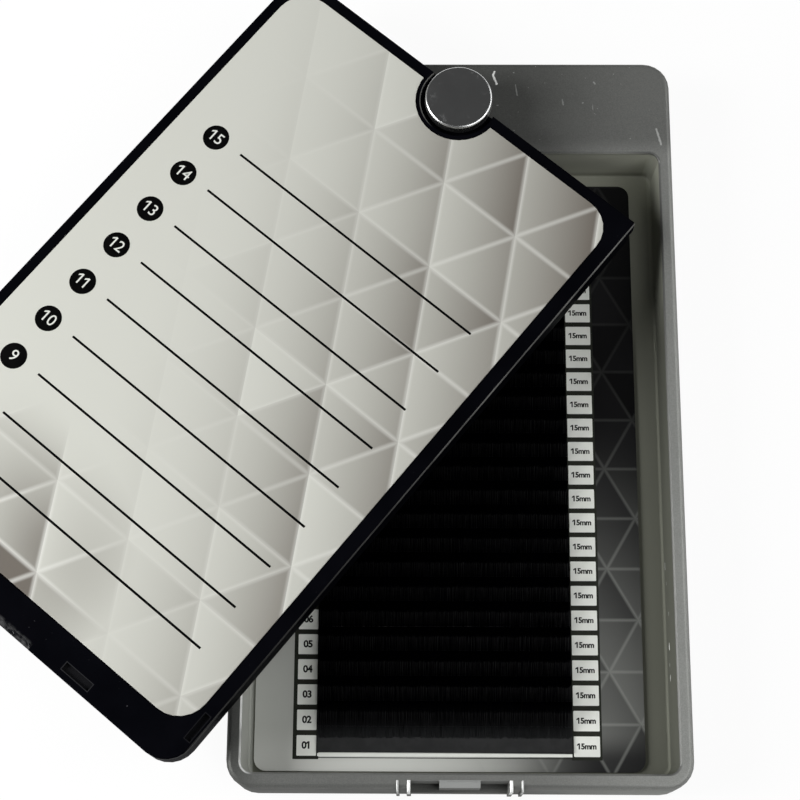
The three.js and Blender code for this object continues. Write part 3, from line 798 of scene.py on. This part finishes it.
def plateTree():
    # rounded plates in a straight row
    tree, keys, source, sink = geometryTree("plateRow", [
        ("Count", "Int"), ("Step", "Vector"), ("Width", "Float"), ("Height", "Float"), ("Corner", "Float"),
        ("Thick", "Float"), ("Material", "Material")])
    line = gn(tree, "MeshLine", {"Count": source["Count"], "Offset": source["Step"]})
    quad = gn(tree, "CurvePrimitiveQuadrilateral", {"Width": source["Width"], "Height": source["Height"]})
    fillet = gn(tree, "FilletCurve", {"Curve": quad.outputs[0], "Count": 6, "Radius": source["Corner"]}, mode="POLY")
    face = gn(tree, "FillCurve", {"Curve": fillet.outputs[0]}, mode="NGONS")
    solid = gn(tree, "ExtrudeMesh", {"Mesh": face.outputs[0], "Offset Scale": source["Thick"]})
    dots = gn(tree, "InstanceOnPoints", {"Points": line.outputs[0], "Instance": solid.outputs[0]})
    finishTree(tree, dots.outputs[0], source["Material"], sink)
    return tree, keys


# how far single lashes stray: place in metres, turn in radians and growth, low and high
lashSpread = {"place": ((-0.00004, -0.00018, -0.00002), (0.00004, 0.00018, 0.00008)),
              "turn": ((-0.05, 0.0, -0.035), (0.03, 0.0, 0.035)), "grow": ((0.9, 0.86, 0.86), (1.1, 1.03, 1.03)),
              "steps": 6, "sides": 3, "taper": 0.8}


def lashTree():
    # rows of fine tapering lashes that leave their strip at a slant and curl up
    tree, keys, source, sink = geometryTree("lashRows", [
        ("Rows", "Int"), ("Per row", "Int"), ("Pitch", "Float"), ("Width", "Float"), ("Reach", "Float"),
        ("Slope", "Float"), ("Curl", "Float"), ("Thick", "Float"), ("Seed", "Int"), ("Material", "Material")])
    depth = product(tree, calc(tree, "SUBTRACT", source["Rows"], 1.0), source["Pitch"])
    grid = gn(tree, "MeshGrid", {"Size X": source["Width"], "Size Y": depth, "Vertices X": source["Per row"],
                                 "Vertices Y": source["Rows"]})
    spread = randomVector(tree, *lashSpread["place"], source["Seed"])
    roots = gn(tree, "SetPosition", {"Geometry": grid.outputs[0], "Offset": spread})
    line = gn(tree, "CurvePrimitiveLine", {"End": vectorOf(tree, y=source["Reach"])})
    steps = gn(tree, "ResampleCurve", {"Curve": line.outputs[0], "Count": lashSpread["steps"]})
    along = gn(tree, "SplineParameter").outputs["Factor"]
    lift = calc(tree, "ADD", source["Slope"], product(tree, source["Curl"], along))
    lift = product(tree, lift, along, source["Reach"])
    bent = gn(tree, "SetPosition", {"Geometry": steps.outputs[0], "Offset": vectorOf(tree, z=lift)})
    taper = calc(tree, "SUBTRACT", 1.0, product(tree, along, lashSpread["taper"]))
    taper = product(tree, taper, source["Thick"])
    thin = gn(tree, "SetCurveRadius", {"Curve": bent.outputs[0], "Radius": taper})
    ring = gn(tree, "CurvePrimitiveCircle", {"Resolution": lashSpread["sides"], "Radius": 1.0})
    lash = gn(tree, "CurveToMesh", {"Curve": thin.outputs[0], "Profile Curve": ring.outputs[0], "Fill Caps": True})
    if "Scale" in lash.inputs:
        tree.links.new(taper, lash.inputs["Scale"])
    turn = randomVector(tree, *lashSpread["turn"], source["Seed"])
    grow = randomVector(tree, *lashSpread["grow"], source["Seed"])
    planted = gn(tree, "InstanceOnPoints", {"Points": roots.outputs[0], "Instance": lash.outputs[0], "Rotation": turn,
                                            "Scale": grow})
    finishTree(tree, planted.outputs[0], source["Material"], sink)
    return tree, keys


plates, plateKeys = plateTree()
lashRows, lashKeys = lashTree()


def plateRow(name, place, size, corner, thick, material, count=1, step=0.0, matrix=Matrix()):
    # flat plates of one finish from the first one's middle on, in millimetres
    x, y, z = place
    return grown(name, plates, plateKeys, {
        "Count": count, "Step": (0.0, step * mm, 0.0), "Width": size[0] * mm, "Height": size[1] * mm,
        "Corner": corner * mm, "Thick": thick * mm, "Material": material}, material,
        matrix @ Matrix.Translation((x * mm, y * mm, z * mm)))


# tray, with its card

tray = softCopy("base_tray", "trayBody", trayMaterial, softEdges["tray"])
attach(tray, "base")
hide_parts("base_tray")
print("tray:", len(tray.data.polygons), "faces")

rows = {"count": 20, "front": -62.2, "pitch": 4.58, "left": -25.55, "right": 20.45, "cardTop": 2.2, "stripTop": 2.65,
        "stripWidth": 2.9}
labels = {"height": 3.66, "corner": 0.16, "centre": 1.1, "bold": 0.04, "margin": 0.3, "groundCorner": 0.1,
          "groundThick": 0.012, "plateThick": 0.02, "inkLift": 0.04,
          "left": {"x": -27.53, "width": 3.56, "frame": 4.68, "shift": -0.14, "numeral": 1.75},
          "right": {"x": 23.1, "width": 4.73, "frame": 5.5, "shift": 0.0, "numeral": 1.42}}

dress(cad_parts["lash_card"].data, cardPrintMaterial)

labelFirst = rows["front"] + labels["centre"]
columnLength = rows["count"] * rows["pitch"] + labels["margin"]
columnMiddle = labelFirst + (rows["count"] - 1) * rows["pitch"] / 2


def labelColumn(side, words):
    look = labels[side]
    ground = plateRow(side + "LabelGround", (look["x"] + look["shift"], columnMiddle, rows["cardTop"]),
                      (look["frame"], columnLength), labels["groundCorner"], labels["groundThick"], inkGrey)
    plate = plateRow(side + "LabelPlates", (look["x"], labelFirst, rows["cardTop"] + labels["groundThick"]),
                     (look["width"], labels["height"]), labels["corner"], labels["plateThick"], labelPaper,
                     rows["count"], rows["pitch"])
    entries = [(words(row), look["x"], labelFirst + row * rows["pitch"]) for row in range(rows["count"])]
    ink = joinedText(side + "LabelNumerals", entries, look["numeral"], labelInk, rows["cardTop"] + labels["inkLift"],
                     bold=labels["bold"])
    for piece in (ground, plate, ink):
        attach(piece, "base")


labelColumn("left", lambda row: "%02d" % (row + 1))
labelColumn("right", lambda row: "15mm")
print("labels: two columns of", rows["count"])

# fine frame lines in front of the strips
frontLines = {"dark": {"y": -63.25, "thick": 0.16, "extra": 4.2, "ink": inkGrey},
              "pale": {"y": -62.72, "thick": 0.55, "extra": 0.0, "ink": labelPaper}}
lineForm = {"corner": 0.02, "thick": 0.015}
for title, look in frontLines.items():
    width = rows["right"] - rows["left"] + look["extra"]
    middle = (rows["right"] + rows["left"] - look["extra"]) / 2
    line = plateRow(title + "FrontLine", (middle, look["y"], rows["cardTop"]), (width, look["thick"]),
                    lineForm["corner"], lineForm["thick"], look["ink"])
    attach(line, "base")

# lash strips and lashes
for row in range(rows["count"]):
    dress(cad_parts["lash_strip_%02d" % (row + 1)].data, tapeMaterial)

lashes = {"perRow": 430, "sheets": 4, "reach": 8.1, "slope": 0.34, "curl": 0.29, "thick": 0.066, "rootInset": 0.35,
          "sideGap": 0.5, "seed": 11, "film": 0.2, "filmGap": 0.1}
rowsPerSheet = rows["count"] // lashes["sheets"]
for sheet in range(lashes["sheets"]):
    first = rows["front"] + sheet * rowsPerSheet * rows["pitch"]
    middle = first + (rowsPerSheet - 1) * rows["pitch"] / 2 + rows["stripWidth"] - lashes["rootInset"]
    centre = (rows["left"] + rows["right"]) / 2
    piece = grown("lashRows%d" % (sheet + 1), lashRows, lashKeys, {
        "Rows": rowsPerSheet, "Per row": lashes["perRow"], "Pitch": rows["pitch"] * mm,
        "Width": (rows["right"] - rows["left"] - lashes["sideGap"]) * mm, "Reach": lashes["reach"] * mm,
        "Slope": lashes["slope"], "Curl": lashes["curl"], "Thick": lashes["thick"] * mm,
        "Seed": lashes["seed"] + sheet, "Material": lashMaterial},
        lashMaterial, Matrix.Translation((centre * mm, middle * mm, rows["stripTop"] * mm)))
    film = bmesh.new()
    film.from_mesh(piece.data)
    low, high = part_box("lash_fibres_%d" % (sheet + 1))
    block = bmesh.ops.create_cube(film, size=1.0)["verts"]
    depth = (rowsPerSheet * rows["pitch"] - lashes["filmGap"]) * mm
    tall = lashes["film"] * mm
    bmesh.ops.scale(film, vec=(high.x - low.x, depth, tall), verts=block)
    bmesh.ops.translate(film, vec=((high.x + low.x) / 2, low.y + depth / 2, low.z + tall / 2), verts=block)
    film.to_mesh(piece.data)
    film.free()
    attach(piece, "base")
    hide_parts("lash_fibres_%d" % (sheet + 1))
    print("lashes, sheet", sheet + 1, len(piece.data.polygons), "faces")

# pivot: button, screw and washers
button = {"radius": 6.4, "height": 2.45, "bevel": 0.42, "bevelSteps": 8, "taper": 0.07, "collar": 1.3, "stud": 2.5,
          "hole": 1.5, "holeTop": 10.6, "foot": ((0.3, 0.0), (0.1, 0.08), (0.0, 0.3)), "rings": (0.8, 0.4, 0.0),
          "turns": 128}


def buttonProfile(bottom, studEnd):
    top = bottom + button["height"]
    radius = button["radius"]
    bevel = button["bevel"]
    shoulder = radius - button["taper"]
    profile = [(0, button["holeTop"]), (button["hole"], button["holeTop"]), (button["hole"], studEnd),
               (button["stud"], studEnd), (button["stud"], bottom)]
    profile += [(radius - inset, bottom + rise) for inset, rise in button["foot"]]
    profile.append((radius, top - button["collar"]))
    for step in range(button["bevelSteps"] + 1):
        angle = math.radians(90 * step / button["bevelSteps"])
        profile.append((shoulder - bevel + bevel * math.cos(angle), top - bevel + bevel * math.sin(angle)))
    return profile + [(radius * share, top) for share in button["rings"]]


low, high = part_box("pivot_stud")
profile = buttonProfile(high.z / mm - button["height"], low.z / mm)
stud = newPiece("pivotButton", turnedMesh(profile, button["turns"]), buttonMaterial)
stud.modifiers.new("normals", "WEIGHTED_NORMAL").keep_sharp = True
settled(stud)
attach(stud, "base")
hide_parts("pivot_stud")

for node, material, edge in (("pivot_screw", screwMaterial, softEdges["screw"]),
                             ("upper_washer", washerMaterial, softEdges["washer"]),
                             ("lower_washer", washerMaterial, softEdges["washer"])):
    title = node.split("_")[0] + node.split("_")[1].capitalize()
    piece = softCopy(node, title, material, edge, 2)
    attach(piece, "base")
    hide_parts(node)
print("pivot: button, screw and two washers")

# lid, with its printed card
lid = softCopy("lid_shell", "lidShell", lidMaterial, softEdges["lid"])
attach(lid, "lid")
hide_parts("lid_shell")
print("lid:", len(lid.data.polygons), "faces")

sheetCard = softCopy("lid_card", "lidCard", lidPrintMaterial, softEdges["lidCard"], 2)
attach(sheetCard, "lid")
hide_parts("lid_card")

lidLines = {"count": 9, "first": -34.75, "pitch": 9.33, "left": -24.7, "right": 31.2, "thick": 0.45, "corner": 0.1,
            "badgeX": -30.5, "badge": 5.0, "badgeDrop": 0.3, "badgeRound": 0.4999, "numeral": 3.15, "bold": 0.002,
            "from": 15, "top": 18.85, "ink": 0.015, "inkLift": 0.03}
lineMiddle = (lidLines["left"] + lidLines["right"]) / 2
badgeFirst = lidLines["first"] - lidLines["badgeDrop"]
ruled = plateRow("ruledLines", (lineMiddle, lidLines["first"], lidLines["top"]),
                 (lidLines["right"] - lidLines["left"], lidLines["thick"]), lidLines["corner"], lidLines["ink"],
                 inkBlack, lidLines["count"], -lidLines["pitch"], lidMatrix)
badges = plateRow("numberBadges", (lidLines["badgeX"], badgeFirst, lidLines["top"]),
                  (lidLines["badge"], lidLines["badge"]), lidLines["badge"] * lidLines["badgeRound"], lidLines["ink"],
                  inkBlack, lidLines["count"], -lidLines["pitch"], lidMatrix)
entries = [(str(lidLines["from"] - k), lidLines["badgeX"], badgeFirst - k * lidLines["pitch"])
           for k in range(lidLines["count"])]
figures = joinedText("badgeNumerals", entries, lidLines["numeral"], inkWhite, lidLines["top"] + lidLines["inkLift"],
                     lidMatrix, lidLines["bold"])
for piece in (ruled, badges, figures):
    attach(piece, "lid")
print("lid print:", lidLines["count"], "lines and badges")

# studio: pale floor, even sky and soft lamps
studio = {"sky": 0.065, "floor": 0.93, "floorMottle": 0.02, "floorGlow": 0.93, "reach": 3.0, "drop": 0.0002}
# lamps: place, size, power, and the target where it isn't the middle
lamps = {"leftSoftbox": ((-0.41, -0.03, 0.33), (0.2, 0.2), 1.75),
         "leftPanel": ((-0.45, -0.03, 0.15), (0.4, 0.14), 1.45),
         "rightSoftbox": ((0.38, 0.0, 0.40), (0.3, 0.3), 0.75),
         "rearSoftbox": ((0.39, 0.27, 0.245), (0.25, 0.25), 0.4, (0, 0.03, 0.02)),
         "rightPanel": ((0.48, -0.05, 0.11), (0.45, 0.12), 0.3),
         "frontSoftbox": ((0.30, -0.28, 0.38), (0.3, 0.3), 0.45),
         "topSoftbox": ((0.22, -0.10, 0.80), (0.3, 0.3), 0.65)}


def makeFloor():
    mesh = bpy.data.meshes.new("studioFloor")
    reach, height = studio["reach"], -studio["drop"]
    mesh.from_pydata([(-reach, -reach, height), (reach, -reach, height), (reach, reach, height),
                      (-reach, reach, height)], [], [(0, 1, 2, 3)])
    material, tree, shader, where = newMaterial("studioFloor", {"Roughness": 0.9, "Specular IOR Level": 0.0})
    level = studio["floor"]
    tone = mixColour(tree, noise(tree, where, 30.0), (level,) * 3, (level + studio["floorMottle"],) * 3)
    tree.links.new(tone, shader["Base Color"])
    glow = tree.nodes.new("ShaderNodeEmission")
    path = tree.nodes.new("ShaderNodeLightPath")
    seen = calc(tree, "MAXIMUM", path.outputs["Is Camera Ray"], path.outputs["Is Glossy Ray"])
    seen = calc(tree, "MAXIMUM", seen, path.outputs["Is Transmission Ray"])
    mix = tree.nodes.new("ShaderNodeMixShader")
    tree.links.new(product(tree, seen, studio["floorGlow"]), mix.inputs[0])
    tree.links.new(tree.nodes["Principled BSDF"].outputs[0], mix.inputs[1])
    tree.links.new(glow.outputs[0], mix.inputs[2])
    tree.links.new(mix.outputs[0], tree.nodes["Material Output"].inputs["Surface"])
    floor = newPiece("studioFloor", mesh, material)


def makeSky():
    world = bpy.data.worlds.new("studioSky")
    world.use_nodes = True
    tree = world.node_tree
    background = tree.nodes["Background"]
    path = tree.nodes.new("ShaderNodeLightPath")
    level = mixColour(tree, path.outputs["Is Camera Ray"], (studio["sky"],) * 3, (1.0, 1.0, 1.0))
    tree.links.new(level, background.inputs["Color"])
    scene.world = world


def softLamp(name, place, size, energy, target=(0, 0, 0)):
    data = bpy.data.lights.new(name, "AREA")
    data.shape = "RECTANGLE"
    data.size, data.size_y = size
    data.energy = energy
    lamp = linked(name, data)
    lamp.location = place
    lamp.rotation_euler = (Vector(target) - Vector(place)).to_track_quat("-Z", "Y").to_euler()


makeFloor()
makeSky()
for name, setting in lamps.items():
    softLamp(name, *setting)
print("studio set")
